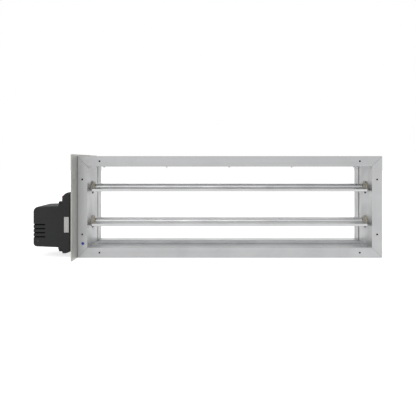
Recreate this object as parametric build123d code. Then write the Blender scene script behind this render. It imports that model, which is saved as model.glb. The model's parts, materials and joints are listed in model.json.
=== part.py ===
from build123d import *
from math import acos, cos, pi, radians, sin, tan
import os

# Volume control damper for a rectangular air duct, with a direct-coupled electric actuator.
# X runs across the duct, Y along the airflow and Z up.  The origin is on the duct's centre
# line, in the face of the front flange.  The blades stand open, rest_turn degrees short of level.

# ---- driving dimensions, mm ---------------------------------------------------------------
opening_width = 700
opening_height = 200
frame_depth = 150
flange_width = 25
frame_wall = 2
lip_width = 12

gear_teeth = 25
gear_module = 3.5
pressure_angle = radians(20)
blade_pair_rise = 1.75
blade_axis_y = 54
blade_chord = 98
rest_turn = 1.1
blade_end_gap = 10
shaft_diameter = 12
running_clearance = 0.05

plate_thickness = 2
plate_front_overhang = 47
plate_rear_overhang = 52
plate_rise = 4
actuator_standoff = 17.5

# ---- worked out from them -----------------------------------------------------------------
half_width = opening_width / 2
half_height = opening_height / 2
outer_x = half_width + flange_width
outer_z = half_height + flange_width
flange_middle = flange_width / 2
shaft_radius = shaft_diameter / 2
blade_pitch = gear_module * gear_teeth
axis_z = {"upper": blade_pair_rise + blade_pitch / 2, "lower": blade_pair_rise - blade_pitch / 2}
web_outside = half_width + frame_wall
blade_half_length = half_width - blade_end_gap
plate_inner_x = -outer_x
plate_outer_x = plate_inner_x - plate_thickness
base_inner_x = plate_outer_x - actuator_standoff

os.makedirs("parts", exist_ok=True)


def save(name, *solids):
    """Write one sub-part: a single solid, or a group of separate like solids."""
    shape = solids[0] if len(solids) == 1 else Compound(children=list(solids))
    export_step(shape, f"parts/{name}.step")


def rod(start, end, radius):
    """Round bar, or the drill for a round hole, between two points."""
    run = Vector(*end) - Vector(*start)
    return extrude(Plane(origin=start, z_dir=run) * Circle(radius), amount=run.length)


def turned(origin, direction, *steps):
    """Stepped round piece about one axis: each step is (radius, from, to) along it."""
    base = Plane(origin=origin, z_dir=direction)
    piece = Part()
    for radius, low, high in steps:
        piece += extrude(base.offset(low) * Circle(radius), amount=high - low)
    return piece


def block(x, y, z):
    """Rectangular block from three (low, high) pairs."""
    centre = [(low + high) / 2 for low, high in (x, y, z)]
    return Pos(*centre) * Box(x[1] - x[0], y[1] - y[0], z[1] - z[0])


def mirrored(solid, *planes):
    """The solid with its mirror images, one doubling for each plane."""
    copies = [solid]
    for plane in planes:
        copies += [mirror(copy, about=plane) for copy in copies]
    return copies


# ---- frame: four mitred lengths of one lipped channel extrusion --------------------------
fixing_hole_radius = 2.3
rail_hole_x = 320
post_hole_z = 67.5
bush_hole_radius = 9.2
bush_screw_drop = 13
bush_screw_radius = 1.75
seal_groove_y = 109
seal_groove_width = 7
seal_groove_depth = 2.2
mitre_gap = 0.25
drain_hole_y = 46
drain_hole_radius = 2.5


def frame_length(reach, half_opening):
    """One side of the frame, above the opening, `reach` from the duct's centre line."""
    inner, outer = reach, reach + flange_width
    section = make_face(Polyline(
        (0, inner), (frame_depth, inner), (frame_depth, outer),
        (frame_depth - lip_width, outer), (frame_depth - lip_width, outer - frame_wall),
        (frame_depth - frame_wall, outer - frame_wall), (frame_depth - frame_wall, inner + frame_wall),
        (frame_wall, inner + frame_wall), (frame_wall, outer - frame_wall),
        (lip_width, outer - frame_wall), (lip_width, outer), (0, outer), close=True))
    groove_back = seal_groove_depth + frame_wall
    section += Pos(seal_groove_y, inner + groove_back / 2) * Rectangle(seal_groove_width + 2 * frame_wall,
                                                                       groove_back)
    section -= Pos(seal_groove_y, inner) * Rectangle(seal_groove_width, 2 * seal_groove_depth)
    short_end, long_end = half_opening - mitre_gap, half_opening + flange_width - mitre_gap
    bar = extrude(Plane.YZ * section, amount=long_end, both=True)
    mitre = make_face(Polyline(
        (-short_end, inner), (short_end, inner), (long_end, outer), (-long_end, outer), close=True))
    return bar & extrude(Plane.XZ * mitre, amount=-frame_depth)


def through_flanges(x, z):
    """Drill for one fixing hole, through the front and the rear flange."""
    return rod((x, -1, z), (x, frame_depth + 1, z), fixing_hole_radius)


top_rail = frame_length(half_height, half_width)
for side in (-1, 1):
    top_rail -= through_flanges(side * rail_hole_x, half_height + flange_middle)
bottom_rail = Rot(0, 180, 0) * top_rail

right_post = Rot(0, 90, 0) * frame_length(half_width, half_height)
for side in (-1, 1):
    right_post -= through_flanges(half_width + flange_middle, side * post_hole_z)
for height in axis_z.values():
    right_post -= rod((half_width - 1, blade_axis_y, height),
                      (web_outside + 1, blade_axis_y, height), bush_hole_radius)
    right_post -= rod((half_width - 1, blade_axis_y, height - bush_screw_drop),
                      (web_outside + 1, blade_axis_y, height - bush_screw_drop), bush_screw_radius)
right_post -= rod((half_width - 1, drain_hole_y, 1 - half_height + drain_hole_radius),
                  (web_outside + 1, drain_hole_y, 1 - half_height + drain_hole_radius),
                  drain_hole_radius)
left_post = mirror(right_post, about=Plane.YZ)

# ---- corner cleats: L plates that lie behind the flanges and carry the fixing holes ------
cleat_thickness = 2.5
cleat_leg = 70
cleat_gap = 0.3


def cleat(back_y):
    """Upper right corner cleat, from the flange's back face at back_y."""
    inner_x, outer_x_side = web_outside + cleat_gap, outer_x - frame_wall - cleat_gap
    inner_z, outer_z_side = inner_x - half_width + half_height, outer_x_side - half_width + half_height
    leg_x, leg_z = outer_x - cleat_leg, outer_z - cleat_leg
    outline = make_face(Polyline(
        (leg_x, inner_z), (inner_x, inner_z), (inner_x, leg_z),
        (outer_x_side, leg_z), (outer_x_side, outer_z_side), (leg_x, outer_z_side), close=True))
    plate = extrude(Plane.XZ.offset(-back_y) * outline, amount=-cleat_thickness)
    plate -= through_flanges(rail_hole_x, half_height + flange_middle)
    return plate - through_flanges(half_width + flange_middle, post_hole_z)


front_cleats = mirrored(cleat(frame_wall), Plane.YZ, Plane.XY)
rear_cleats = mirrored(cleat(frame_depth - frame_wall - cleat_thickness), Plane.YZ, Plane.XY)

# ---- blade stops: small aluminium angles riveted across the top and bottom ---------------
stop_height = {"top": 6.5, "bottom": 8.5}
stop_wall = 1.6
stop_base = 11
stop_half_length = half_width - 13
stop_setback = {"top": -8.4, "bottom": -0.6}
stop_rivet_count = 5


def blade_stop(side, setback):
    """Angle whose upright's rear face stands `setback` from the blade axis."""
    face_y = blade_axis_y + setback
    edge_z = half_height - stop_height[side]
    outline = make_face(Polyline(
        (face_y, half_height), (face_y, edge_z),
        (face_y - stop_wall, edge_z), (face_y - stop_wall, half_height - stop_wall),
        (face_y - stop_base, half_height - stop_wall), (face_y - stop_base, half_height), close=True))
    angle = extrude(Plane.YZ * outline, amount=stop_half_length, both=True)
    rivets = []
    for index in range(stop_rivet_count):
        x = stop_half_length * (2 * index / (stop_rivet_count - 1) - 1) * 0.94
        spot = (x, face_y - 6.6, half_height - stop_wall)
        angle -= rod(spot, (x, spot[1], half_height), 1.65)
        rivets.append(turned(spot, (0, 0, -1), (3, 0, 1.1), (1.6, -stop_wall - frame_wall, 0),
                             (2.4, -stop_wall - frame_wall - 2.4, -stop_wall - frame_wall)))
    pieces = [angle, *rivets]
    return pieces if side == "top" else [mirror(piece, about=Plane.XY) for piece in pieces]


top_stop, *top_stop_rivets = blade_stop("top", stop_setback["top"])
bottom_stop, *bottom_stop_rivets = blade_stop("bottom", stop_setback["bottom"])
for piece in top_stop_rivets:
    middle = piece.center()
    top_rail -= rod((middle.X, middle.Y, half_height - 1), (middle.X, middle.Y, half_height + 3), 1.65)
for piece in bottom_stop_rivets:
    middle = piece.center()
    bottom_rail -= rod((middle.X, middle.Y, -half_height + 1), (middle.X, middle.Y, -half_height - 3), 1.65)

# ---- bushes: flanged nylon bearings, each kept from turning by a screw against its flat ---
bush_flange_radius = 16
bush_flange = 3
bush_flat_drop = 9.8
bush_boss_radius = 9.5
bush_boss_end = 8
bush_tail = 5


def bush(height):
    """Right-hand bush of the blade whose axis is at this height."""
    axis_point = (half_width, blade_axis_y, height)
    outline = Circle(bush_flange_radius) - Pos(0, -bush_flat_drop - 10) * Rectangle(40, 20)
    piece = extrude(Plane(origin=axis_point, x_dir=(0, 1, 0), z_dir=(1, 0, 0)) * outline, amount=-bush_flange)
    piece += turned(axis_point, (-1, 0, 0), (bush_boss_radius, bush_flange, bush_boss_end),
                    (bush_hole_radius - 0.2, -bush_tail, 0))
    return piece - rod((half_width - bush_boss_end - 1, blade_axis_y, height),
                       (half_width + bush_tail + 1, blade_axis_y, height), shaft_radius + running_clearance)


def bush_screw(height):
    """Pan-head screw in the post's web, beside the flat of the bush."""
    seat = (half_width, blade_axis_y, height - bush_screw_drop)
    screw = turned(seat, (-1, 0, 0), (3, 0, 2.1), (1.7, -6, 0))
    slot = Pos(seat[0] - 2.1, seat[1], seat[2])
    screw -= slot * Box(1.8, 4.2, 0.9)
    return screw - slot * Box(1.8, 0.9, 4.2)


bushes = {}
bush_screws = []
for blade_name, height in axis_z.items():
    bushes[f"{blade_name}_right_bush"] = bush(height)
    bushes[f"{blade_name}_left_bush"] = mirror(bush(height), about=Plane.YZ)
    bush_screws += mirrored(bush_screw(height), Plane.YZ)

# ---- blades: hollow S-section extrusions with a tube for the shafts in the middle ---------
boss_radius = 9
tip = blade_chord / 2
tip_low, tip_high = -7, -1
skin = 1.3
pin_depth = 55
blade_screw_inset = 30
blade_screw_radius = 2


def blade_section():
    """Point-symmetric outline in (airflow, up), centred on the blade's axis."""
    under, over = 1, 8.5
    side_y = (boss_radius ** 2 - under ** 2) ** 0.5
    crown_y = (boss_radius ** 2 - over ** 2) ** 0.5
    round_y = boss_radius * sin(radians(45))
    outline = [
        Line((-tip, tip_low), (-crown_y, -over)),
        ThreePointArc((-crown_y, -over), (round_y, -round_y), (side_y, -under)),
        Line((side_y, -under), (tip, -tip_high)),
        Line((tip, -tip_high), (tip, -tip_low)),
        Line((tip, -tip_low), (crown_y, over)),
        ThreePointArc((crown_y, over), (-round_y, round_y), (-side_y, under)),
        Line((-side_y, under), (-tip, tip_high)),
        Line((-tip, tip_high), (-tip, tip_low)),
    ]
    section = make_face(outline)
    section = fillet([v for v in section.vertices() if abs(v.X) > tip - 1], 1)
    hollow = make_face(Polyline((-12.5, -0.7), (3.5 - tip, tip_high - skin), (3.5 - tip, tip_low + skin),
                                (-12.5, -6.9), close=True))
    return section - hollow - Rot(0, 0, 180) * hollow - Circle(shaft_radius + running_clearance)


def blade(height):
    """One blade, open, with its four pin screws' holes in the underside of its tube."""
    plane = Plane(origin=(0, blade_axis_y, height), x_dir=(0, 1, 0), z_dir=(1, 0, 0))
    piece = extrude(plane * blade_section(), amount=blade_half_length, both=True)
    for x in pin_screw_places():
        piece -= rod((x, blade_axis_y, height), (x, blade_axis_y, height - 12), blade_screw_radius + 0.1)
    return piece


def pin_screw_places():
    """Distances across the duct of the screws that hold the shafts in a blade."""
    inset = blade_half_length - blade_screw_inset
    return [side * place for side in (-1, 1) for place in (inset, inset + 15)]


def blade_screw(x, height):
    """Screw up through the tube's underside into the shaft."""
    return turned((x, blade_axis_y, height - boss_radius + 0.5), (0, 0, -1),
                  (3.4, 0, 1.9), (blade_screw_radius - 0.02, -6.5, 0))


def shaft(height, start, end):
    """Round steel shaft with the cross holes that its blade screws bite into."""
    piece = rod((start, blade_axis_y, height), (end, blade_axis_y, height), shaft_radius)
    for x in pin_screw_places():
        if min(start, end) < x < max(start, end):
            piece -= rod((x, blade_axis_y, height - 1.5), (x, blade_axis_y, height - 9), blade_screw_radius)
    return piece


blades = {name: blade(height) for name, height in axis_z.items()}
for name, height in axis_z.items():
    for x in pin_screw_places():
        blades[name] -= block((x - 4, x + 4), (blade_axis_y - 4, blade_axis_y + 4),
                              (height - boss_radius - 1, height - boss_radius + 0.5))
blade_screws = {name: [blade_screw(x, height) for x in pin_screw_places()]
                for name, height in axis_z.items()}

# ---- gears: two meshing nylon wheels in the right-hand channel ----------------------------
gear_low_x, gear_high_x = web_outside + 6.5, web_outside + 16.5
gear_hub_low_x, gear_hub_high_x = web_outside + 4.5, web_outside + 18
flat_depth = 1.5
pin_inner_x = blade_half_length - pin_depth
right_shaft_end = outer_x - 1.5


def toothed_wheel(teeth, module, backlash, first_tooth):
    """Involute wheel outline about the origin, with a tooth at the angle first_tooth."""
    pitch_radius = module * teeth / 2
    base_radius = pitch_radius * cos(pressure_angle)
    tip_radius = pitch_radius + module
    root_radius = pitch_radius - 1.25 * module
    half_tooth = pi / (2 * teeth) - backlash / (2 * pitch_radius) + tan(pressure_angle) - pressure_angle

    def half_angle(radius):
        roll = acos(min(1, base_radius / radius))
        return half_tooth - (tan(roll) - roll)

    def at(radius, angle):
        return radius * cos(angle), radius * sin(angle)

    flank_start = max(base_radius, root_radius)
    flank_middle = (flank_start + tip_radius) / 2
    edges = []
    for index in range(teeth):
        centre = first_tooth + 2 * pi * index / teeth
        next_centre = centre + 2 * pi / teeth
        wide, mid, narrow = (half_angle(r) for r in (flank_start, flank_middle, tip_radius))
        rising = [at(flank_start, centre - wide), at(flank_middle, centre - mid),
                  at(tip_radius, centre - narrow)]
        falling = [at(tip_radius, centre + narrow), at(flank_middle, centre + mid),
                   at(flank_start, centre + wide)]
        root_before = at(root_radius, centre - wide)
        root_after = at(root_radius, centre + wide)
        root_next = at(root_radius, next_centre - wide)
        if root_radius < base_radius:
            edges.append(Line(root_before, rising[0]))
            edges.append(Line(falling[2], root_after))
        edges.append(ThreePointArc(*rising))
        edges.append(Line(rising[2], falling[0]))
        edges.append(ThreePointArc(*falling))
        edges.append(Line(root_after, root_next))
    return make_face(edges)


def blade_gear(height, first_tooth):
    """Webbed gear with a hub, six lightening holes and a D-shaped bore."""
    def layer(x, sketch, thickness):
        return extrude(Plane(origin=(x, blade_axis_y, height), x_dir=(0, 1, 0), z_dir=(1, 0, 0))
                       * sketch, amount=thickness)

    thickness = gear_high_x - gear_low_x
    web_recess = 3
    wheel = layer(gear_low_x, toothed_wheel(gear_teeth, gear_module, 0.35, first_tooth), thickness)
    ring = Circle(36) - Circle(15)
    wheel -= layer(gear_high_x - web_recess, ring, web_recess)
    wheel -= layer(gear_low_x, ring, web_recess)
    holes = Sketch() + [Rot(0, 0, 60 * k + 30) * Pos(25.5, 0) * Circle(6.5) for k in range(6)]
    wheel -= layer(gear_low_x, holes, thickness)
    wheel += layer(gear_hub_low_x, Circle(12), gear_hub_high_x - gear_hub_low_x)
    bore = Circle(shaft_radius + 0.1) - Pos(0, shaft_radius) * Rectangle(14, 2 * flat_depth - 0.2)
    return wheel - layer(gear_hub_low_x, bore, gear_hub_high_x - gear_hub_low_x)


def retaining_clip(x, height):
    """E-clip in a shaft's groove, open towards the rear."""
    plane = Plane(origin=(x, blade_axis_y, height), x_dir=(0, 1, 0), z_dir=(1, 0, 0))
    ring = Circle(9.5) - Circle(shaft_radius - 0.7) - Pos(6, 0) * Rectangle(12, 6)
    for angle in (90, 210):
        ring -= Rot(0, 0, angle) * Pos(6.2, 0) * Rectangle(2.4, 3.4)
    return extrude(plane * ring, amount=1.0)


def clip_groove(x, height):
    """Cutter for the groove that holds a retaining clip."""
    middle = (x - 0.05, blade_axis_y, height)
    return turned(middle, (1, 0, 0), (shaft_radius + 1, 0, 1.1)) - turned(
        middle, (1, 0, 0), (shaft_radius - 0.8, -1, 2.1))


def gear_end_flat(height):
    """Cutter for the flat on the gear's end of a shaft."""
    top = height + shaft_radius
    return block((gear_hub_low_x, right_shaft_end + 1), (blade_axis_y - 7, blade_axis_y + 7),
                 (top - flat_depth, top + 1))


right_clip_x = gear_hub_high_x + 0.3
left_clip_x = -web_outside - bush_tail - 0.5
upper_left_end = left_clip_x - 5
drive_shaft_end = base_inner_x - 40

upper_right_shaft = shaft(axis_z["upper"], pin_inner_x, right_shaft_end)
upper_right_shaft -= gear_end_flat(axis_z["upper"])
upper_right_shaft -= clip_groove(right_clip_x, axis_z["upper"])
lower_right_shaft = shaft(axis_z["lower"], pin_inner_x, right_shaft_end)
lower_right_shaft -= gear_end_flat(axis_z["lower"])
lower_right_shaft -= clip_groove(right_clip_x, axis_z["lower"])
upper_left_shaft = shaft(axis_z["upper"], -pin_inner_x, upper_left_end)
upper_left_shaft -= clip_groove(left_clip_x - 1, axis_z["upper"])
drive_shaft = shaft(axis_z["lower"], -pin_inner_x, drive_shaft_end)
drive_shaft -= clip_groove(left_clip_x - 1, axis_z["lower"])

upper_clips = [retaining_clip(right_clip_x, axis_z["upper"]), retaining_clip(left_clip_x - 1, axis_z["upper"])]
lower_clips = [retaining_clip(right_clip_x, axis_z["lower"]), retaining_clip(left_clip_x - 1, axis_z["lower"])]

tooth_pitch = 2 * pi / gear_teeth
upper_gear = blade_gear(axis_z["upper"], -pi / 2)
lower_gear = blade_gear(axis_z["lower"], pi / 2 + tooth_pitch / 2)

# ---- actuator plate: a flat sheet riveted over the left-hand channel ----------------------
plate_low_y, plate_high_y = -plate_front_overhang, frame_depth + plate_rear_overhang
rivet_lip_y = (7.8, frame_depth - 7.8)
rivet_heights = (-100, -35, 35, 100)
rivet_radius = 1.6

plate_face = Plane(origin=(plate_outer_x, 0, 0), x_dir=(0, 1, 0), z_dir=(1, 0, 0))
plate_middle = ((plate_low_y + plate_high_y) / 2, plate_rise / 2)
plate_outline = Pos(*plate_middle) * RectangleRounded(
    plate_high_y - plate_low_y, 2 * outer_z + plate_rise, 2)
actuator_plate = extrude(plate_face * plate_outline, amount=plate_thickness)
actuator_plate -= rod((plate_outer_x - 1, blade_axis_y, axis_z["lower"]),
                      (plate_inner_x + 1, blade_axis_y, axis_z["lower"]), 10)
plate_rivets = []
for y in rivet_lip_y:
    for z in rivet_heights:
        drill = rod((plate_outer_x - 1, y, z), (plate_inner_x + frame_wall + 1, y, z), rivet_radius + 0.05)
        actuator_plate -= drill
        left_post -= drill
        plate_rivets.append(turned((plate_outer_x, y, z), (1, 0, 0), (3.2, -1.2, 0),
                                   (rivet_radius, 0, plate_thickness + frame_wall),
                                   (2.5, plate_thickness + frame_wall, plate_thickness + frame_wall + 2.2)))

# ---- anti-rotation bracket: an angle on the plate whose tongue enters the actuator --------
strap_wall = 1.5
strap_low_z, strap_high_z = -108, -82
tongue_reach = 7
strap_foot_x = plate_outer_x - strap_wall
anti_rotation_bracket = block((strap_foot_x, plate_outer_x), (44, 64), (strap_low_z, strap_high_z))
anti_rotation_bracket += block((base_inner_x - tongue_reach, strap_foot_x), (47, 61),
                               (strap_low_z, strap_low_z + strap_wall))
bracket_screws = []
for z in (-89, -100):
    drill = rod((strap_foot_x - 1, blade_axis_y, z), (plate_inner_x + 1, blade_axis_y, z), 2.05)
    anti_rotation_bracket -= drill
    actuator_plate -= drill
    screw = turned((strap_foot_x, blade_axis_y, z), (-1, 0, 0), (3.8, 0, 2.5), (2, -12, 0))
    bracket_screws.append(screw - Pos(strap_foot_x - 2.5, blade_axis_y, z) * Box(2, 5, 1))

# ---- actuator base: the gear housing, with a rounded nose that carries the release button -
base_thickness = 18
base_low_y, base_high_y = 1.5, 106.5
base_low_z, base_top_z = -116, 36
chamfer_across, chamfer_up = 11.5, 4.5
hub_radius = 14
corner_radius = 9
output_z = axis_z["lower"]
base_outer_x = base_inner_x - base_thickness
shoulder_z = base_top_z - base_thickness
nose_round = base_thickness * cos(radians(45))

base_outline = make_face([
    Line((base_inner_x, base_top_z), (base_inner_x, base_low_z + chamfer_up)),
    Line((base_inner_x, base_low_z + chamfer_up), (base_inner_x - chamfer_across, base_low_z)),
    Line((base_inner_x - chamfer_across, base_low_z), (base_outer_x, base_low_z)),
    Line((base_outer_x, base_low_z), (base_outer_x, shoulder_z)),
    ThreePointArc((base_outer_x, shoulder_z), (base_inner_x - nose_round, shoulder_z + nose_round),
                  (base_inner_x, base_top_z)),
])
base_corners = Pos((base_low_y + base_high_y) / 2, (base_low_z + base_top_z) / 2) * RectangleRounded(
    base_high_y - base_low_y, base_top_z - base_low_z, corner_radius)
actuator_base = extrude(Plane.XZ.offset(-base_low_y) * base_outline, amount=base_low_y - base_high_y)
actuator_base &= extrude(Plane(origin=(base_outer_x - 1, 0, 0), x_dir=(0, 1, 0), z_dir=(1, 0, 0)) * base_corners,
                         amount=base_thickness + 2)
actuator_base -= rod((base_inner_x + 1, blade_axis_y, output_z), (base_outer_x - 1, blade_axis_y, output_z),
                     hub_radius + running_clearance)
actuator_base -= block((base_inner_x - tongue_reach - 1, base_inner_x + 1), (46.6, 61.4),
                       (strap_low_z - 0.4, strap_low_z + strap_wall + 0.4))

# ---- release button: a sprung push button in the base's nose ------------------------------
button_radius = 4
button_travel = 2
button_proud = 2.6
button_axis = (0.96, 0, -0.28)
button_seat = (base_inner_x - base_thickness * button_axis[0], 16, shoulder_z - base_thickness * button_axis[2])
pocket_depth = 13
pocket_start, pocket_end = (tuple(s + a * reach for s, a in zip(button_seat, button_axis))
                            for reach in (-8, pocket_depth))
actuator_base -= rod(pocket_start, pocket_end, button_radius + 0.35)
release_button = turned(button_seat, button_axis, (button_radius, -button_proud, 6), (2, 6, pocket_depth - button_travel - 0.5))

# ---- actuator cover: the drafted, round-shouldered motor housing --------------------------
cover_depth = 72.5
cover_wall = 3
cover_low_y, cover_high_y = 4, 100
root_low_z, root_high_z = -101, 2.5
draft = 2.8
rim = 9.8
rim_margin = 3
slot_heights = (-44, -54, -64, -74)
slot_width = 3.4
slot_depth = cover_wall + 0.5
slot_reach = 30
cover_outer_x = base_outer_x - cover_depth


def cover_outline(inset):
    """Outline in (across, up), `inset` inside the outer skin, with round outer corners."""
    near, far = base_outer_x, cover_outer_x + inset
    low, high = root_low_z + inset, root_high_z - inset
    top_round, bottom_round = 13 - inset, 9 - inset
    corner = make_face(Polyline((near, high), (near, low), (far, low + draft), (far, high - draft), close=True))
    corners = corner.vertices().group_by(Axis.X)[0].sort_by(Axis.Y)
    corner = fillet(corners[1], top_round)
    corners = corner.vertices().group_by(Axis.X)[0].sort_by(Axis.Y)
    return fillet(corner.vertices().filter_by_position(Axis.Y, low, low + draft + 1)
                  .group_by(Axis.X)[0], bottom_round)


actuator_cover = extrude(Plane.XZ.offset(-cover_low_y) * cover_outline(0), amount=cover_low_y - cover_high_y)
end_faces = actuator_cover.faces().filter_by(Axis.Y)
soft_edges = [edge for face in end_faces for edge in face.edges() if edge.center().X < base_outer_x - 1]
actuator_cover = fillet(soft_edges, 4)
actuator_cover += block((base_outer_x - rim, base_outer_x), (base_low_y + 1, base_high_y - 1),
                        (root_low_z - rim_margin, root_high_z + rim_margin))
actuator_cover -= extrude(Plane.XZ.offset(-cover_low_y - cover_wall) * cover_outline(cover_wall),
                          amount=cover_low_y - cover_high_y + 2 * cover_wall)
for z in slot_heights:
    half = slot_width / 2
    actuator_cover -= block((cover_outer_x - 1, cover_outer_x + slot_reach),
                            (0, cover_low_y + slot_depth), (z - half, z + half))
    actuator_cover -= block((cover_outer_x - 1, cover_outer_x + slot_depth),
                            (0, cover_low_y + slot_reach), (z - half, z + half))

# ---- screws of the cover: four through its rim, one in the terminal end -------------------
rim_screws = []
for y in (base_low_y + 12, base_high_y - 12):
    for z, side in ((root_low_z - rim_margin, -1), (root_high_z + rim_margin, 1)):
        spot = (base_outer_x - rim, y, z + side * 3.2)
        lug = turned(spot, (1, 0, 0), (4.6, 0, rim))
        lug += block((spot[0], base_outer_x), (y - 4.6, y + 4.6), tuple(sorted((spot[2], z - side * 2))))
        drill = rod((spot[0] - 1, y, spot[2]), (base_outer_x + 8, y, spot[2]), 1.55)
        actuator_cover += lug
        actuator_cover -= drill
        actuator_base -= drill
        screw = turned(spot, (-1, 0, 0), (3, 0, 2), (1.5, -rim - 7, 0))
        screw -= Pos(spot[0] - 2, y, spot[2]) * Box(1.8, 4, 0.8)
        rim_screws.append(screw - Pos(spot[0] - 2, y, spot[2]) * Box(1.8, 0.8, 4))

terminal_spot = (cover_outer_x + 12, cover_low_y, root_low_z + 16.5)
actuator_cover -= turned(terminal_spot, (0, 1, 0), (3.8, -1, 1.2), (1.55, 0, cover_wall + 1))
terminal_screw = turned((terminal_spot[0], cover_low_y + 1.2, terminal_spot[2]), (0, -1, 0),
                        (3.2, 0, 1.4), (1.5, -6, 0))
terminal_screw -= Pos(terminal_spot[0], cover_low_y - 0.2, terminal_spot[2]) * Box(4.4, 1.6, 0.9)

# ---- cable gland: the empty wiring inlet in the cover's rear end --------------------------
gland_place = (base_outer_x - 34, cover_high_y, -74)
actuator_cover -= rod((gland_place[0], cover_high_y - cover_wall - 1, gland_place[2]),
                      (gland_place[0], cover_high_y + 1, gland_place[2]), 8.1)
gland_hexagon = Plane(origin=gland_place, x_dir=(1, 0, 0), z_dir=(0, 1, 0)) * RegularPolygon(11, 6)
cable_gland = extrude(gland_hexagon, amount=5)
cable_gland += turned(gland_place, (0, 1, 0), (8, -8, 0), (9.6, 5, 13), (8.2, 13, 15), (6.4, 15, 16.5))
cable_gland -= rod((gland_place[0], cover_high_y - 9, gland_place[2]),
                   (gland_place[0], cover_high_y + 18, gland_place[2]), 3.6)
gland_nut = extrude(Plane(origin=(gland_place[0], cover_high_y - cover_wall - 4, gland_place[2]),
                          x_dir=(1, 0, 0), z_dir=(0, 1, 0)) * RegularPolygon(11, 6), amount=4)
gland_nut -= rod((gland_place[0], cover_high_y - 9, gland_place[2]),
                 (gland_place[0], cover_high_y, gland_place[2]), 8.05)

# ---- rating label: blank, on the near end of the base -------------------------------------
label_thickness = 0.25
rating_label = block((base_inner_x - 13, base_inner_x - 1.5), (base_low_y - label_thickness, base_low_y),
                     (-63, -25))

# ---- output: hub, clamp and toothed sector, which turn with the drive shaft ---------------
jaw_low_x, jaw_high_x = base_inner_x + 1.5, base_inner_x + 13.5
hub_end_x = base_inner_x - 36
bolt_radius = 3
bolt_spacing = 2 * (shaft_radius + bolt_radius + 0.15)
sector_teeth = 42
pinion_teeth = 18
drive_module = 1.25
sector_low_x, sector_high_x = base_outer_x - 11, base_outer_x - 3
pinion_direction = radians(-60)


def across(x, y=blade_axis_y, z=output_z):
    """Sketch plane square to X, with its own x along the airflow and y up."""
    return Plane(origin=(x, y, z), x_dir=(0, 1, 0), z_dir=(1, 0, 0))


jaw_outline = make_face(Polyline((0.8, -17), (19, -17), (19, 17), (0.8, 17), (0.8, 9), (8.6, 0),
                                 (0.8, -9), close=True))
output_hub = extrude(across(hub_end_x) * Circle(hub_radius), amount=base_inner_x + 0.5 - hub_end_x)
output_hub += extrude(across(base_inner_x + 0.5) * Circle(19), amount=1)
output_hub += extrude(across(jaw_low_x) * jaw_outline, amount=jaw_high_x - jaw_low_x)
output_hub -= extrude(across(hub_end_x - 1) * Circle(shaft_radius + 0.1), amount=60)
bolt_x = (jaw_low_x + jaw_high_x) / 2
for side in (-1, 1):
    leg_z = output_z + side * bolt_spacing / 2
    output_hub -= rod((bolt_x, blade_axis_y, leg_z), (bolt_x, blade_axis_y + 21, leg_z), bolt_radius + 0.2)

bend = ThreePointArc((0, -bolt_spacing / 2), (-bolt_spacing / 2, 0), (0, bolt_spacing / 2))
path = Line((30, -bolt_spacing / 2), (0, -bolt_spacing / 2)) + bend + Line((0, bolt_spacing / 2), (30, bolt_spacing / 2))
path = across(bolt_x) * path
start_plane = Plane(origin=path @ 0, z_dir=path % 0)
clamp_u_bolt = sweep(start_plane * Circle(bolt_radius), path=path)
clamp_nuts = []
for side in (-1, 1):
    nut_plane = Plane(origin=(bolt_x, blade_axis_y + 19, output_z + side * bolt_spacing / 2),
                      x_dir=(1, 0, 0), z_dir=(0, 1, 0))
    nut = extrude(nut_plane * (RegularPolygon(5.6, 6) - Circle(bolt_radius + 0.05)), amount=5)
    clamp_nuts.append(nut)

toothed = toothed_wheel(sector_teeth, drive_module, 0.2, pinion_direction)
wedge = make_face(Polyline((0, 0), *[(60 * cos(radians(a)), 60 * sin(radians(a)))
                                     for a in (-74, -45, -15, 15, 44)], close=True))
sector_outline = (toothed & wedge) + Circle(hub_radius + 4.5)
sector_outline -= Circle(hub_radius + 0.02)
output_sector = extrude(across(sector_low_x) * sector_outline, amount=sector_high_x - sector_low_x)

# ---- inside the cover: geared motor, its pinion and the circuit board --------------------
centre_distance = drive_module * (sector_teeth + pinion_teeth) / 2
motor_y = blade_axis_y + centre_distance * cos(pinion_direction)
motor_z = output_z + centre_distance * sin(pinion_direction)
motor_face_x = base_outer_x - 14
pillar_radius = 3
motor_pillar_offset = 17
board_x = base_outer_x - 23
pinion_first_tooth = pinion_direction + pi + pi / pinion_teeth

gear_motor = turned((motor_face_x, motor_y, motor_z), (-1, 0, 0), (14, 2, 42), (11, 42, 45))
gear_motor += extrude(across(motor_face_x - 2, motor_y, motor_z) * SlotOverall(46, 12), amount=2)
gear_motor -= rod((motor_face_x + 1, motor_y, motor_z), (motor_face_x - 5, motor_y, motor_z), 3.2)
motor_pinion = extrude(across(sector_low_x, motor_y, motor_z)
                       * toothed_wheel(pinion_teeth, drive_module, 0.2, pinion_first_tooth),
                       amount=sector_high_x - sector_low_x)
motor_pinion += turned((sector_low_x, motor_y, motor_z), (-1, 0, 0), (3.1, 0, 7))
for side in (-1, 1):
    actuator_base += rod((base_outer_x, motor_y + side * motor_pillar_offset, motor_z),
                         (motor_face_x, motor_y + side * motor_pillar_offset, motor_z), pillar_radius)
board_pillars = [(14, -12), (94, -12)]
circuit_board = block((board_x - 1.6, board_x), (10, 98 - cover_wall), (-36, -7))
for y, z in board_pillars:
    actuator_base += rod((base_outer_x, y, z), (board_x, y, z), pillar_radius)
relay_y = 30
circuit_board += block((board_x - 13.6, board_x - 1.6), (relay_y, relay_y + 20), (-31, -15))
circuit_board += block((board_x - 11.6, board_x - 1.6), (relay_y + 30, relay_y + 55), (-29, -17))

# ---- inspection dot: a dab of blue marking paint on the left post -------------------------
inspection_dot = rod((-361, 0, -90), (-361, -0.3, -90), 3.5)

# ---- set both blade trains and the pinion to their resting turn ---------------------------


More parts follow.
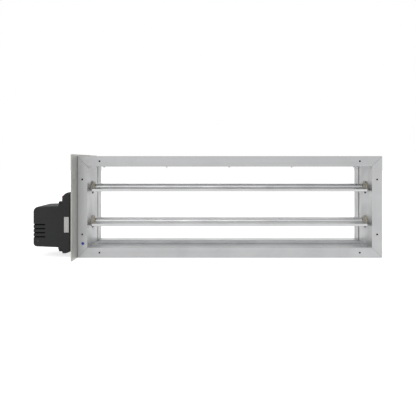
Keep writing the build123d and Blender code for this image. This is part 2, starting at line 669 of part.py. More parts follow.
def set_at_rest(pieces, height, turn, y=blade_axis_y):
    """Turn pieces about the line along X at this height."""
    return [piece.rotate(Axis((0, y, height), (1, 0, 0)), turn) for piece in pieces]


upper, lower = axis_z["upper"], axis_z["lower"]
blades["upper"], upper_left_shaft, upper_right_shaft, upper_gear = set_at_rest(
    [blades["upper"], upper_left_shaft, upper_right_shaft, upper_gear], upper, rest_turn)
blade_screws["upper"] = set_at_rest(blade_screws["upper"], upper, rest_turn)
upper_clips = set_at_rest(upper_clips, upper, rest_turn)
blades["lower"], drive_shaft, lower_right_shaft, lower_gear = set_at_rest(
    [blades["lower"], drive_shaft, lower_right_shaft, lower_gear], lower, -rest_turn)
blade_screws["lower"] = set_at_rest(blade_screws["lower"], lower, -rest_turn)
lower_clips = set_at_rest(lower_clips, lower, -rest_turn)
output_hub, output_sector, clamp_u_bolt = set_at_rest(
    [output_hub, output_sector, clamp_u_bolt], lower, -rest_turn)
clamp_nuts = set_at_rest(clamp_nuts, lower, -rest_turn)
motor_pinion, = set_at_rest([motor_pinion], motor_z, rest_turn * sector_teeth / pinion_teeth, motor_y)

# ---- write every sub-part -----------------------------------------------------------------
save("top_rail", top_rail)
save("bottom_rail", bottom_rail)
save("left_post", left_post)
save("right_post", right_post)
save("front_corner_cleats", *front_cleats)
save("rear_corner_cleats", *rear_cleats)
save("top_blade_stop", top_stop)
save("bottom_blade_stop", bottom_stop)
save("blade_stop_rivets", *top_stop_rivets, *bottom_stop_rivets)
for name, piece in bushes.items():
    save(name, piece)
save("bush_screws", *bush_screws)
save("upper_blade", blades["upper"])
save("lower_blade", blades["lower"])
save("upper_blade_screws", *blade_screws["upper"])
save("lower_blade_screws", *blade_screws["lower"])
save("upper_left_shaft", upper_left_shaft)
save("upper_right_shaft", upper_right_shaft)
save("lower_right_shaft", lower_right_shaft)
save("drive_shaft", drive_shaft)
save("upper_gear", upper_gear)
save("lower_gear", lower_gear)
save("upper_shaft_clips", *upper_clips)
save("lower_shaft_clips", *lower_clips)
save("actuator_plate", actuator_plate)
save("plate_rivets", *plate_rivets)
save("anti_rotation_bracket", anti_rotation_bracket)
save("bracket_screws", *bracket_screws)
save("actuator_base", actuator_base)
save("actuator_cover", actuator_cover)
save("cover_screws", *rim_screws)
save("terminal_screw", terminal_screw)
save("cable_gland", cable_gland)
save("gland_nut", gland_nut)
save("rating_label", rating_label)
save("release_button", release_button)
save("output_hub", output_hub)
save("output_sector", output_sector)
save("clamp_u_bolt", clamp_u_bolt)
save("clamp_nuts", *clamp_nuts)
save("gear_motor", gear_motor)
save("motor_pinion", motor_pinion)
save("circuit_board", circuit_board)
save("inspection_dot", inspection_dot)
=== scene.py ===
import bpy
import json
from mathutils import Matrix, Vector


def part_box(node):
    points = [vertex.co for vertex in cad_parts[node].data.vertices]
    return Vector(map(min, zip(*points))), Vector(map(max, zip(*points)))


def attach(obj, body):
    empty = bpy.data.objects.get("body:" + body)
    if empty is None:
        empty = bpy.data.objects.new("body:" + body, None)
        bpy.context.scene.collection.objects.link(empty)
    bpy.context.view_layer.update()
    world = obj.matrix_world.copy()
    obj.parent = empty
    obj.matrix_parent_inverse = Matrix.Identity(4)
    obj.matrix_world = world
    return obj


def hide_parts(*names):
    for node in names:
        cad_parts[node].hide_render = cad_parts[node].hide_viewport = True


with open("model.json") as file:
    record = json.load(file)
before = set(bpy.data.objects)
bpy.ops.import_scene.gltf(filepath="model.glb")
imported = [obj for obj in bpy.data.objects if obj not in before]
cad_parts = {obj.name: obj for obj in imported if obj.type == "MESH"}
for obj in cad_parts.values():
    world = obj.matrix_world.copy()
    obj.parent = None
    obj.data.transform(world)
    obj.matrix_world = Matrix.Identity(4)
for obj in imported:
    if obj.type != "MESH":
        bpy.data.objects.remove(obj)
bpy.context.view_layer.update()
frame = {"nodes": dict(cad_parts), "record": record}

import json
from math import cos, pi, radians, sin

import bpy
from mathutils import Vector

nodes = frame["nodes"]

# ---- bench, lamps and camera --------------------------------------------------------------
# The damper stands on a plain pale bench under two broad soft lamps.
# The bench shows white to the camera and in the metal, and keeps the soft shadow at its foot.
bench_gap = 0.0006
bench_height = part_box("bottom_rail")[0].z - bench_gap
bench_reach = 12
bench_glow = 0.72


def add(tree, kind, inputs=None, **settings):
    """One node of a tree: settings are its own choices, inputs its sockets' values or links."""
    node = tree.nodes.new(kind)
    for name, value in settings.items():
        setattr(node, name, value)
    for socket, value in (inputs or {}).items():
        if isinstance(value, bpy.types.NodeSocket):
            tree.links.new(value, node.inputs[socket])
        else:
            node.inputs[socket].default_value = value
    return node


def empty_tree(material):
    """A material's own node tree, cleared for building."""
    material.use_nodes = True
    material.node_tree.nodes.clear()
    return material.node_tree


def seen_plainly(tree):
    """1 for what the camera, a glossy surface or a clear pane sees, 0 for light falling on a surface."""
    path = add(tree, "ShaderNodeLightPath")
    pair = add(tree, "ShaderNodeMath", {0: path.outputs["Is Camera Ray"], 1: path.outputs["Is Glossy Ray"]},
               operation="MAXIMUM")
    return add(tree, "ShaderNodeMath", {0: pair.outputs[0], 1: path.outputs["Is Transmission Ray"]},
               operation="MAXIMUM").outputs[0]


bench_mesh = bpy.data.meshes.new("bench")
bench_corners = ((-1, -1), (1, -1), (1, 1), (-1, 1))
bench_mesh.from_pydata([(bench_reach * x, bench_reach * y, bench_height) for x, y in bench_corners],
                       [], [(0, 1, 2, 3)])
bench = bpy.data.objects.new("bench", bench_mesh)
bpy.context.scene.collection.objects.link(bench)
bench_paper = bpy.data.materials.new("bench_paper")
tree = empty_tree(bench_paper)
paper = add(tree, "ShaderNodeBsdfDiffuse", {"Color": (0.75, 0.75, 0.75, 1)})
white = add(tree, "ShaderNodeEmission", {"Color": (1, 1, 1, 1), "Strength": bench_glow})
lit = add(tree, "ShaderNodeAddShader", {0: paper.outputs[0], 1: white.outputs[0]})
shown = add(tree, "ShaderNodeMixShader", {0: seen_plainly(tree), 1: paper.outputs[0], 2: lit.outputs[0]})
add(tree, "ShaderNodeOutputMaterial", {"Surface": shown.outputs[0]})
bench_mesh.materials.append(bench_paper)

world = bpy.data.worlds.new("studio")
bpy.context.scene.world = world
tree = empty_tree(world)
room_level = 0.75
strength = add(tree, "ShaderNodeMix", {"Factor": seen_plainly(tree), 2: room_level, 3: 1.0})
room = add(tree, "ShaderNodeBackground", {"Color": (1, 1, 1, 1), "Strength": strength.outputs[0]})
add(tree, "ShaderNodeOutputWorld", {"Surface": room.outputs[0]})


def soft_lamp(name, place, aim, size, power):
    """A square area lamp that looks from its place towards the aim."""
    data = bpy.data.lights.new(name, "AREA")
    data.size = size
    data.energy = power
    lamp = bpy.data.objects.new(name, data)
    bpy.context.scene.collection.objects.link(lamp)
    lamp.location = place
    lamp.rotation_euler = (Vector(aim) - Vector(place)).to_track_quat("-Z", "Y").to_euler()
    return lamp


lamp_size = 1.6
soft_lamp("overhead_lamp", (-0.3, -0.3, 1.6), (0, 0.05, 0), lamp_size, 7)
soft_lamp("front_lamp", (-0.4, -2.2, 1.7), (0, 0, 0), lamp_size, 9)

eye = bpy.data.cameras.new("camera")
eye.lens = 41.9
eye.sensor_width = 36
eye.shift_x = -0.0120
eye.shift_y = -0.1106
camera = bpy.data.objects.new("camera", eye)
bpy.context.scene.collection.objects.link(camera)
camera.location = (-0.041, -1.190, 0.1105)
camera.rotation_euler = (pi / 2, 0, 0)
bpy.context.scene.camera = camera
bpy.context.scene.view_settings.view_transform = "Standard"

# ---- frame: four mitred lengths of channel ------------------------------------------------
# Mill-finish aluminium, pressed through a die, so faint lines and broader streaks run along it.
# It is cut at 45 degrees and has been handled, which leaves soft smudges and a few scuffs.


def new_group(name, inputs, outputs):
    """A shader node group with its named sockets, and its input and output nodes."""
    group = bpy.data.node_groups.new(name, "ShaderNodeTree")
    for socket, kind, value in inputs:
        made = group.interface.new_socket(socket, in_out="INPUT", socket_type=kind)
        if value is not None:
            made.default_value = value
    for socket, kind in outputs:
        group.interface.new_socket(socket, in_out="OUTPUT", socket_type=kind)
    return group, add(group, "NodeGroupInput"), add(group, "NodeGroupOutput")


die_lines, given, result = new_group(
    "die_lines",
    [("Vector", "NodeSocketVector", None), ("Lines per Metre", "NodeSocketFloat", 700.0),
     ("Streaks per Metre", "NodeSocketFloat", 60.0)],
    [("Lines", "NodeSocketFloat"), ("Streaks", "NodeSocketFloat")])
fine = add(die_lines, "ShaderNodeTexNoise", {"Vector": given.outputs["Vector"],
           "Scale": given.outputs["Lines per Metre"], "Detail": 3.0, "Roughness": 0.7})
broad = add(die_lines, "ShaderNodeTexNoise", {"Vector": given.outputs["Vector"],
            "Scale": given.outputs["Streaks per Metre"], "Detail": 5.0, "Roughness": 0.6})
die_lines.links.new(fine.outputs[0], result.inputs["Lines"])
die_lines.links.new(broad.outputs[0], result.inputs["Streaks"])

handling, given, result = new_group(
    "handling",
    [("Vector", "NodeSocketVector", None), ("Smudge Size", "NodeSocketFloat", 0.06),
     ("Scuffs", "NodeSocketFloat", 0.35)],
    [("Smudges", "NodeSocketFloat"), ("Scuffs", "NodeSocketFloat")])
per_metre = add(handling, "ShaderNodeMath", {0: 1.0, 1: given.outputs["Smudge Size"]}, operation="DIVIDE")
cloud = add(handling, "ShaderNodeTexNoise", {"Vector": given.outputs["Vector"],
            "Scale": per_metre.outputs[0], "Detail": 6.0, "Distortion": 0.6})
scratch_field = add(handling, "ShaderNodeTexNoise", {"Vector": given.outputs["Vector"],
                    "Scale": 190.0, "Detail": 2.0, "Distortion": 2.5})
scratch_line = add(handling, "ShaderNodeMath", {0: scratch_field.outputs[0], 1: 0.5, 2: 0.004},
                   operation="COMPARE")
scratch_place = add(handling, "ShaderNodeMapRange", {"Value": cloud.outputs[0], "From Min": 0.55,
                    "From Max": 0.7, "To Max": given.outputs["Scuffs"]})
scratched = add(handling, "ShaderNodeMath", {0: scratch_line.outputs[0], 1: scratch_place.outputs[0]},
                operation="MULTIPLY")
handling.links.new(cloud.outputs[0], result.inputs["Smudges"])
handling.links.new(scratched.outputs[0], result.inputs["Scuffs"])


def tone(colour, factor):
    """The colour made lighter or darker by a factor, with full alpha."""
    return tuple(min(1, channel * factor) for channel in colour) + (1,)


drawn_out = 0.012


def extruded_aluminium(name, colour, along, roughness=0.42, streak_depth=0.06, painted_zones=()):
    """Mill-finish aluminium whose die lines run along one axis: 0 for X, 1 for Y, 2 for Z.

    Each painted zone (axis, from, to, factor) paints light or shade by scaling the colour: by 1 before the
    stretch, by the factor after it.
    """
    material = bpy.data.materials.new(name)
    tree = empty_tree(material)
    place = add(tree, "ShaderNodeTexCoord").outputs["Object"]
    stretch = [1.0, 1.0, 1.0]
    stretch[along] = drawn_out
    drawn = add(tree, "ShaderNodeMapping", {"Vector": place, "Scale": stretch}).outputs[0]
    lines = add(tree, "ShaderNodeGroup", {"Vector": drawn}, node_tree=die_lines)
    marks = add(tree, "ShaderNodeGroup", {"Vector": place}, node_tree=handling)
    streaked = add(tree, "ShaderNodeMapRange", {"Value": lines.outputs["Streaks"], "From Min": 0.3,
                   "From Max": 0.7, "To Min": 0.0, "To Max": 1.0})
    metal = add(tree, "ShaderNodeMix", {"Factor": streaked.outputs[0], 6: tone(colour, 1 - streak_depth),
                7: tone(colour, 1 + streak_depth)}, data_type="RGBA")
    dull = add(tree, "ShaderNodeMapRange", {"Value": marks.outputs["Smudges"], "From Min": 0.35,
               "From Max": 0.75, "To Min": 0.0, "To Max": 0.35})
    smudged = add(tree, "ShaderNodeMix", {"Factor": dull.outputs[0], 6: metal.outputs[2],
                  7: tone(colour, 0.86)}, data_type="RGBA")
    bright = add(tree, "ShaderNodeMix", {"Factor": marks.outputs["Scuffs"], 6: smudged.outputs[2],
                 7: tone(colour, 1.25)}, data_type="RGBA")
    rough = add(tree, "ShaderNodeMapRange", {"Value": marks.outputs["Smudges"], "From Min": 0.3,
                "From Max": 0.7, "To Min": roughness - 0.07, "To Max": roughness + 0.09})
    relief = add(tree, "ShaderNodeBump", {"Strength": 0.25, "Distance": 0.00006,
                 "Height": lines.outputs["Lines"]})
    shade = bright.outputs[2]
    spread = add(tree, "ShaderNodeSeparateXYZ", {0: place})
    for axis, begin, end, factor in painted_zones:
        level = add(tree, "ShaderNodeMapRange", {"Value": spread.outputs[axis], "From Min": begin,
                    "From Max": end, "To Min": 1.0, "To Max": factor}, interpolation_type="SMOOTHSTEP")
        scaled = add(tree, "ShaderNodeVectorMath", {0: shade, "Scale": level.outputs[0]}, operation="SCALE")
        shade = scaled.outputs[0]
    shader = add(tree, "ShaderNodeBsdfPrincipled", {"Base Color": shade, "Metallic": 0.85,
                 "Roughness": rough.outputs[0], "Normal": relief.outputs[0]})
    add(tree, "ShaderNodeOutputMaterial", {"Surface": shader.outputs[0]})
    return material


def dress(material, *names):
    """Give CAD nodes a material."""
    for name in names:
        for slot in nodes[name].material_slots:
            slot.material = material


frame_colour = (0.46, 0.463, 0.468)
# Tones set as painted light and shade: the rails painted lighter behind the flange, the left post painted
# darker with shade in its seam with the plate.
web_front = 0.003
web_light_fade = 0.002
seam_shade_width = 0.0032
dress(extruded_aluminium("rail_aluminium", frame_colour, 0,
                         painted_zones=[(1, web_front, web_front + web_light_fade, 1.4)]), "top_rail", "bottom_rail")
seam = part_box("left_post")[0].x
dress(extruded_aluminium("post_aluminium", frame_colour, 2), "right_post")
# The left post's flange is painted with shade along its seam with the plate.
dress(extruded_aluminium("post_aluminium_seam_shaded", frame_colour, 2,
                         painted_zones=[(0, seam + seam_shade_width, seam, 0.35)]), "left_post")

# ---- corner cleats and their blind nuts ---------------------------------------------------
# Stamped L plates behind the flanges, which carry a closed black nut under each fixing hole.
# The nut is pressed into the cleat from behind, so the hole looks dark from outside.
dress(extruded_aluminium("cleat_aluminium", (0.44, 0.44, 0.44), 0, roughness=0.5),
      "front_corner_cleats", "rear_corner_cleats")


def plated_steel(name, colour, roughness):
    """Bare or plated metal, bright or blackened, with a faint spangle and dull patches."""
    material = bpy.data.materials.new(name)
    tree = empty_tree(material)
    place = add(tree, "ShaderNodeTexCoord").outputs["Object"]
    spangle = add(tree, "ShaderNodeTexVoronoi", {"Vector": place, "Scale": 420.0})
    patches = add(tree, "ShaderNodeTexNoise", {"Vector": place, "Scale": 90.0, "Detail": 6.0})
    shade = add(tree, "ShaderNodeMapRange", {"Value": patches.outputs[0], "From Min": 0.3, "From Max": 0.7})
    body = add(tree, "ShaderNodeMix", {"Factor": shade.outputs[0], 6: tone(colour, 0.85),
               7: tone(colour, 1.1)}, data_type="RGBA")
    rough = add(tree, "ShaderNodeMapRange", {"Value": spangle.outputs["Distance"], "From Max": 1.0,
                "To Min": roughness - 0.05, "To Max": roughness + 0.1})
    relief = add(tree, "ShaderNodeBump", {"Strength": 0.15, "Distance": 0.00003,
                 "Height": patches.outputs[0]})
    shader = add(tree, "ShaderNodeBsdfPrincipled", {"Base Color": body.outputs[2], "Metallic": 1.0,
                 "Roughness": rough.outputs[0], "Normal": relief.outputs[0]})
    add(tree, "ShaderNodeOutputMaterial", {"Surface": shader.outputs[0]})
    return material


black_steel = plated_steel("black_steel", (0.05, 0.05, 0.05), 0.4)


def turned_part(name, profile, sides=28):
    """A part turned on a lathe about Z, from its (radius, height) profile in millimetres, top first."""
    points = []
    rings = []
    for radius, height in profile:
        count = 1 if radius == 0 else sides
        rings.append(list(range(len(points), len(points) + count)))
        angles = [2 * pi * i / count for i in range(count)]
        points += [(radius * cos(a) / 1000, radius * sin(a) / 1000, height / 1000) for a in angles]
    faces = []
    for upper, lower in zip(rings, rings[1:]):
        for i in range(sides):
            here, after = i, (i + 1) % sides
            if len(upper) == 1:
                faces.append((upper[0], lower[here], lower[after]))
            elif len(lower) == 1:
                faces.append((upper[after], upper[here], lower[0]))
            else:
                faces.append((upper[after], upper[here], lower[here], lower[after]))
    mesh = bpy.data.meshes.new(name)
    mesh.from_pydata(points, [], faces)
    mesh.shade_smooth()
    mesh.set_sharp_from_angle(angle=radians(35))
    part = bpy.data.objects.new(name, mesh)
    bpy.context.scene.collection.objects.link(part)
    return part


layout = bpy.data.node_groups.new("fixing_layout", "GeometryNodeTree")
for socket, kind in (("Spots", "Geometry"), ("Part", "Object"), ("Recess", "Object"),
                     ("Free Turn", "Float"), ("Seed", "Int"), ("Finish", "Material")):
    layout.interface.new_socket(socket, in_out="INPUT", socket_type="NodeSocket" + kind)
layout.interface.new_socket("Fixings", in_out="OUTPUT", socket_type="NodeSocketGeometry")
given = add(layout, "NodeGroupInput")
part = add(layout, "GeometryNodeObjectInfo", {"Object": given.outputs["Part"]})
recess = add(layout, "GeometryNodeObjectInfo", {"Object": given.outputs["Recess"]})
cut = add(layout, "GeometryNodeMeshBoolean", {0: part.outputs["Geometry"], 1: recess.outputs["Geometry"]},
          operation="DIFFERENCE")
facing = add(layout, "GeometryNodeInputNamedAttribute", {"Name": "facing"}, data_type="FLOAT_VECTOR")
stood = add(layout, "FunctionNodeAlignRotationToVector", {"Vector": facing.outputs[0]}, axis="Z")
chance = add(layout, "FunctionNodeRandomValue", {2: 0.0, 3: given.outputs["Free Turn"],
             "Seed": given.outputs["Seed"]}, data_type="FLOAT")
twist = add(layout, "ShaderNodeCombineXYZ", {"Z": chance.outputs[1]})
twist = add(layout, "FunctionNodeEulerToRotation", {0: twist.outputs[0]})
driven = add(layout, "FunctionNodeRotateRotation", {0: stood.outputs[0], 1: twist.outputs[0]},
             rotation_space="LOCAL")
copies = add(layout, "GeometryNodeInstanceOnPoints", {"Points": given.outputs["Spots"],
             "Instance": cut.outputs[0], "Rotation": driven.outputs[0]})
joined = add(layout, "GeometryNodeRealizeInstances", {0: copies.outputs[0]})
finished = add(layout, "GeometryNodeSetMaterial", {"Geometry": joined.outputs[0],
               "Material": given.outputs["Finish"]})
add(layout, "NodeGroupOutput", {0: finished.outputs[0]})


def lay_out(name, spots, part, finish, recess=None, free_turn=0.0, seed=1):
    """Copies of a part, its head facing the way given for each spot, as one plain mesh."""
    mesh = bpy.data.meshes.new(name + "_spots")
    mesh.from_pydata([spot for spot, facing in spots], [], [])
    facings = mesh.attributes.new("facing", "FLOAT_VECTOR", "POINT")
    for entry, (spot, facing) in zip(facings.data, spots):
        entry.vector = facing
    holder = bpy.data.objects.new(name + "_spots", mesh)
    bpy.context.scene.collection.objects.link(holder)
    modifier = holder.modifiers.new("layout", "NODES")
    modifier.node_group = layout
    values = {"Part": part, "Recess": recess, "Free Turn": free_turn, "Seed": seed, "Finish": finish}
    for socket in layout.interface.items_tree:
        if socket.in_out == "INPUT" and socket.name in values:
            modifier[socket.identifier] = values[socket.name]
    graph = bpy.context.evaluated_depsgraph_get()
    graph.update()
    plain = bpy.data.meshes.new_from_object(holder.evaluated_get(graph), depsgraph=graph)
    plain.name = name
    holder.modifiers.remove(modifier)
    bpy.data.objects.remove(holder)
    piece = bpy.data.objects.new(name, plain)
    bpy.context.scene.collection.objects.link(piece)
    return piece


def fix_to(body, slot, piece, *stood_for):
    """Make a piece move with a body and stand for CAD nodes; the slot is not used."""
    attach(piece, body)
    if stood_for:
        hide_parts(*stood_for)


blind_nut = turned_part("blind_nut", [(0, -10.2), (1.0, -10.2), (2.05, -9), (2.05, 0), (2.6, 0),
                                      (3.1, -0.5), (3.1, -11), (2.6, -11.6), (0, -11.6)])
mounts = {mount["name"]: mount for mount in frame["record"]["mounts"]}
cleat_backs = {"front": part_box("front_corner_cleats")[1].y, "rear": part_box("rear_corner_cleats")[0].y}
nut_spots = []
for end, way in (("front", -1), ("rear", 1)):
    for length in ("rail", "post"):
        spread = mounts[end + "_" + length + "_holes"]["dims"]
        half_x, half_z = spread["spacing_x_mm"] / 2000, spread["spacing_y_mm"] / 2000
        nut_spots += [((x, cleat_backs[end], z), (0, way, 0))
                      for x in (-half_x, half_x) for z in (-half_z, half_z)]
cleat_nuts = lay_out("cleat_nuts", nut_spots, blind_nut, black_steel)
fix_to("frame", "black_screws", cleat_nuts)
bpy.data.objects.remove(blind_nut)

# ---- blade stops and their rivets ---------------------------------------------------------
# An aluminium angle across the bottom of the opening and a flat strip across the top.
# Both are held by blind rivets, whose domed heads keep the pit where the mandrel broke off.
stop_aluminium = extruded_aluminium("stop_aluminium", (0.50, 0.505, 0.51), 0)
dress(stop_aluminium, "bottom_blade_stop")


def extruded_strip(name, outline, start, end):
    """A length along X with the given outline in (airflow, up), counted anticlockwise from +X."""
    count = len(outline)
    mesh = bpy.data.meshes.new(name)
    mesh.from_pydata([(x, y, z) for x in (start, end) for y, z in outline], [],
                     [tuple(range(count))[::-1], tuple(range(count, 2 * count))]
                     + [(i, (i + 1) % count, count + (i + 1) % count, count + i) for i in range(count)])
    piece = bpy.data.objects.new(name, mesh)
    bpy.context.scene.collection.objects.link(piece)
    return piece


low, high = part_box("top_blade_stop")
strip_wall, bead = 0.001, 0.0004
strip_outline = [(low.y, high.z), (low.y, high.z - strip_wall)]
for share in (0.3, 0.5, 0.7):
    middle = low.y + (high.y - low.y) * share
    strip_outline += [(middle - bead, high.z - strip_wall), (middle, high.z - strip_wall + bead / 2),
                      (middle + bead, high.z - strip_wall)]
strip_outline += [(high.y, high.z - strip_wall), (high.y, high.z)]
top_strip = extruded_strip("top_blade_strip", strip_outline, low.x, high.x)
top_strip.data.materials.append(stop_aluminium)
fix_to("frame", "blade_aluminium", top_strip, "top_blade_stop")

rivet = turned_part("blind_rivet", [(0, 0.35), (0.8, 0.35), (0.9, 1.0), (1.4, 1.1), (2.2, 0.9), (2.8, 0.5),
                                    (3.1, 0), (1.6, 0), (1.6, -4.0), (2.5, -4.1), (2.5, -5.6), (1.4, -6.2),
                                    (0, -6.2)])
low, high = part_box("blade_stop_rivets")
head_radius, head_rise = 0.003, 0.0011
top_tail, bottom_tail = 0.0054, 0.0071
stop_seats = {1: (low.y + head_radius, high.z - top_tail - strip_wall),
              -1: (high.y - head_radius, low.z + bottom_tail - head_rise)}
rivet_reach = high.x - head_radius
rivet_spots = [((rivet_reach * step / 2, y, z), (0, 0, -side))
               for side, (y, z) in stop_seats.items() for step in (-2, -1, 0, 1, 2)]
rivet_finish = plated_steel("rivet_aluminium", (0.62, 0.62, 0.63), 0.35)
stop_rivets = lay_out("stop_rivets", rivet_spots, rivet, rivet_finish, free_turn=pi)
fix_to("frame", "rivet_aluminium", stop_rivets, "blade_stop_rivets")

# ---- bushes -------------------------------------------------------------------------------
# Flanged bearings moulded in natural nylon, cream and slightly waxy, with a faint moulded grain.


def moulded(name, colour, roughness, grain_size, grain_depth, mottle=0.06, gloss=0.5):
    """Moulded plastic with a spark-eroded grain and a soft mottle."""
    material = bpy.data.materials.new(name)
    tree = empty_tree(material)
    place = add(tree, "ShaderNodeTexCoord").outputs["Object"]
    cloud = add(tree, "ShaderNodeTexNoise", {"Vector": place, "Scale": 45.0, "Detail": 5.0})
    grain = add(tree, "ShaderNodeTexNoise", {"Vector": place, "Scale": 1 / grain_size, "Detail": 3.0})
    shade = add(tree, "ShaderNodeMapRange", {"Value": cloud.outputs[0], "From Min": 0.3, "From Max": 0.7})
    body = add(tree, "ShaderNodeMix", {"Factor": shade.outputs[0], 6: tone(colour, 1 - mottle),
               7: tone(colour, 1 + mottle)}, data_type="RGBA")
    rough = add(tree, "ShaderNodeMapRange", {"Value": grain.outputs[0], "From Min": 0.3, "From Max": 0.7,
                "To Min": roughness - 0.06, "To Max": roughness + 0.06})
    relief = add(tree, "ShaderNodeBump", {"Strength": 0.4, "Distance": grain_depth,
                 "Height": grain.outputs[0]})
    shader = add(tree, "ShaderNodeBsdfPrincipled", {"Base Color": body.outputs[2],
                 "Roughness": rough.outputs[0], "Normal": relief.outputs[0], "Specular IOR Level": gloss})
    add(tree, "ShaderNodeOutputMaterial", {"Surface": shader.outputs[0]})
    return material


dress(moulded("bush_nylon", (0.50, 0.47, 0.39), 0.5, 0.0012, 0.00003),
      "upper_right_bush", "upper_left_bush", "lower_right_bush", "lower_left_bush")


def pan_screw(name, head_radius, head_height, shank_radius, length):
    """A pan-head screw standing on its head's underside, in millimetres."""
    head = [(0, 1.0), (0.4, 0.98), (0.7, 0.85), (0.92, 0.6), (1.0, 0.25), (1.0, 0)]
    return turned_part(name, [(radius * head_radius, height * head_height) for radius, height in head]
                       + [(shank_radius, 0), (shank_radius, -length + 1), (0, -length)])


def cross_recess(name, span, width, top, depth):
    """The tapered cross that a driver fits, to be cut out of a screw's head, in millimetres."""
    long, short = span / 2, width / 2
    arm = [(short, short), (long, short), (long, -short)]
    cross = [(x * cos(a) - y * sin(a), x * sin(a) + y * cos(a)) for a in (0, -pi / 2, -pi, -3 * pi / 2)
             for x, y in arm][::-1]
    points = [(x * scale / 1000, y * scale / 1000, z / 1000)
              for scale, z in ((1.05, top + 0.3), (0.4, top - depth)) for x, y in cross]
    count = len(cross)
    mesh = bpy.data.meshes.new(name)
    mesh.from_pydata(points, [], [tuple(range(count)), tuple(range(count, 2 * count))[::-1]]
                     + [(i, count + i, count + (i + 1) % count, (i + 1) % count) for i in range(count)])
    recess = bpy.data.objects.new(name, mesh)
    bpy.context.scene.collection.objects.link(recess)
    return recess


bush_screw_reach = 0.006
screw = pan_screw("bush_screw", 3.0, 2.1, 1.7, bush_screw_reach * 1000)
recess = cross_recess("bush_screw_recess", 3.8, 0.9, 2.1, 1.4)
low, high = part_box("bush_screws")
seat_x = high.x - bush_screw_reach
screw_spots = [((side * seat_x, (low.y + high.y) / 2, z), (-side, 0, 0))
               for side in (-1, 1) for z in (low.z + head_radius, high.z - head_radius)]
bush_screws = lay_out("bush_pan_screws", screw_spots, screw, black_steel, recess, free_turn=pi / 2, seed=4)
fix_to("frame", "black_screws", bush_screws, "bush_screws")
bpy.data.objects.remove(screw)
bpy.data.objects.remove(recess)

# ---- blades and their shafts --------------------------------------------------------------
# Hollow aluminium extrusions, brighter than the frame, each on two plated steel shafts.
# Self-tapping screws hold the shafts in the blade's tube.
# The tube's crown is a painted highlight, lighter than the rest, a tone set for the blades standing open.
crown_starts, crown_full = 0.0445, 0.0505
crown_ends, rear_full = 0.0565, 0.0615
dress(extruded_aluminium("blade_aluminium", (0.56, 0.563, 0.568), 0, roughness=0.36,
                         painted_zones=[(1, crown_starts, crown_full, 1.6), (1, crown_ends, rear_full, 0.62)]),
      "upper_blade", "lower_blade")
zinc = plated_steel("zinc_plate", (0.60, 0.60, 0.58), 0.3)
dress(zinc, "upper_left_shaft", "upper_right_shaft", "lower_right_shaft", "drive_shaft",
      "upper_shaft_clips", "lower_shaft_clips", "upper_blade_screws", "lower_blade_screws")

# ---- gears --------------------------------------------------------------------------------
# Two equal wheels in black glass-filled nylon, which turn the blades opposite ways.
gear_nylon = moulded("gear_nylon", (0.03, 0.03, 0.032), 0.45, 0.0008, 0.00003, mottle=0.12)
dress(gear_nylon, "upper_gear", "lower_gear", "output_sector", "motor_pinion")

# ---- actuator plate -----------------------------------------------------------------------
# Rolled aluminium sheet, duller and a little warmer than the frame, riveted over the post.
# The front 2 mm of the sheet, out to its cut edge, is painted darker with shade.
plate_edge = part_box("actuator_plate")[0].y
edge_shade_fade = 0.002
dress(extruded_aluminium("plate_aluminium", (0.54, 0.54, 0.51), 2, roughness=0.5, streak_depth=0.05,
                         painted_zones=[(1, plate_edge + edge_shade_fade, plate_edge, 0.8)]), "actuator_plate")
low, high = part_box("plate_rivets")
plate_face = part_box("actuator_plate")[0].x
plate_head, inner_row = 0.0032, 0.035
rivet_rows = (low.y + plate_head, high.y - plate_head)
rivet_top = high.z - plate_head
rivet_spots = [((plate_face, y, z), (-1, 0, 0)) for y in rivet_rows
               for z in (-rivet_top, -inner_row, inner_row, rivet_top)]
plate_rivets = lay_out("plate_blind_rivets", rivet_spots, rivet, rivet_finish, free_turn=pi, seed=2)
fix_to("frame", "rivet_aluminium", plate_rivets, "plate_rivets")
bpy.data.objects.remove(rivet)
dress(zinc, "anti_rotation_bracket", "bracket_screws", "output_hub", "clamp_u_bolt", "clamp_nuts",
      "gear_motor")

# ---- actuator -----------------------------------------------------------------------------
# A motor housing in two mouldings of fine-grained black plastic, with a red release button.
actuator_plastic = moulded("actuator_plastic", (0.0125, 0.0128, 0.0135), 0.62, 0.0009, 0.00005, mottle=0.1,
                            gloss=0.35)
dress(actuator_plastic, "actuator_base", "actuator_cover")
dress(black_steel, "terminal_screw")

low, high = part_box("cover_screws")
cover_head_rise = 0.002
screw = pan_screw("cover_screw", 3.0, cover_head_rise * 1000, 1.5, 16.8)
recess = cross_recess("cover_screw_recess", 3.8, 0.8, 2.0, 1.3)
screw_spots = [((low.x + cover_head_rise, y, z), (-1, 0, 0))
               for y in (low.y + head_radius, high.y - head_radius)
               for z in (low.z + head_radius, high.z - head_radius)]
cover_screws = lay_out("cover_pan_screws", screw_spots, screw, black_steel, recess, free_turn=pi / 2,
                       seed=7)
fix_to("frame", "black_screws", cover_screws, "cover_screws")
bpy.data.objects.remove(screw)
bpy.data.objects.remove(recess)
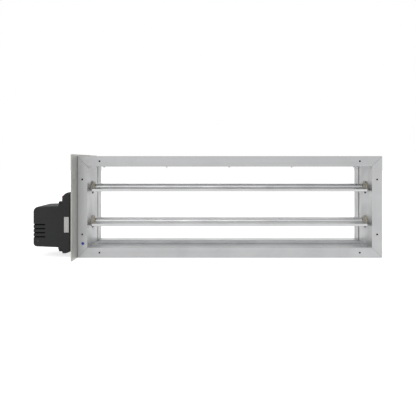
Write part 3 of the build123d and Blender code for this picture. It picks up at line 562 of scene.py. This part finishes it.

# A near-black sheet inside the cover, behind its vent slots, stands in for the shade within the housing.
low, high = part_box("actuator_cover")
shade_sheet_inset, shade_sheet_wall, corner_radius = 0.0019, 0.0008, 0.004
front_y, end_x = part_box("terminal_screw")[0].y + 0.0002, low.x
front_reach, side_reach = 0.030, 0.034
shade_sheet_low, shade_sheet_high = -0.0765, -0.0415
bend_turns = [step * pi / 12 for step in range(7)]
shade_sheet_line = []
for inset in (shade_sheet_inset, shade_sheet_inset + shade_sheet_wall):
    bend = corner_radius - inset
    line = [(end_x + front_reach, front_y + inset)]
    line += [(end_x + corner_radius - bend * sin(turn), front_y + corner_radius - bend * cos(turn))
             for turn in bend_turns]
    line.append((end_x + inset, front_y + side_reach))
    shade_sheet_line.append(line)
ring = shade_sheet_line[0] + shade_sheet_line[1][::-1]
count = len(ring)
strips = range(count // 2 - 1)
ends = [(i, i + 1, count - 2 - i, count - 1 - i) for i in strips]
ends += [(count + i + 1, count + i, 2 * count - 1 - i, 2 * count - 2 - i) for i in strips]
walls = [((i + 1) % count, i, count + i, count + (i + 1) % count) for i in range(count)]
mesh = bpy.data.meshes.new("vent_baffle")
mesh.from_pydata([(x, y, z) for z in (shade_sheet_low, shade_sheet_high) for x, y in ring], [], ends + walls)
vent_baffle = bpy.data.objects.new("vent_baffle", mesh)
bpy.context.scene.collection.objects.link(vent_baffle)
mesh.materials.append(moulded("vent_shade_black", (0.0015, 0.0015, 0.0018), 0.8, 0.0012, 0.00003, gloss=0.1))
fix_to("frame", "actuator_black", vent_baffle)
dress(moulded("gland_nylon", (0.02, 0.02, 0.02), 0.4, 0.0012, 0.00002), "cable_gland", "gland_nut")
button_red = moulded("button_red", (0.45, 0.03, 0.03), 0.35, 0.001, 0.00002)
outward = Vector((-0.96, 0, 0.28))
low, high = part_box("release_button")
button_radius, button_proud = 0.004, 0.0026
seat = Vector((low.x + button_radius * outward.z, (low.y + high.y) / 2, high.z + button_radius * outward.x))
seat -= outward * button_proud
cap = turned_part("release_button_cap", [(0, 4.9), (1.6, 4.85), (2.9, 4.5), (3.6, 3.8), (3.9, 2.8),
                                         (3.98, 2.2), (3.98, -6), (2, -6), (2, -10.5), (0, -10.5)])
button_cap = lay_out("button_cap", [(tuple(seat), tuple(outward))], cap, button_red)
fix_to("release_button_set", "button_red", button_cap, "release_button")
bpy.data.objects.remove(cap)
dress(moulded("label_film", (0.52, 0.52, 0.51), 0.4, 0.0015, 0.00001), "rating_label")
dress(moulded("board_green", (0.03, 0.18, 0.09), 0.4, 0.001, 0.00001), "circuit_board")
dress(moulded("marking_blue", (0.012, 0.03, 0.30), 0.4, 0.001, 0.00003), "inspection_dot")
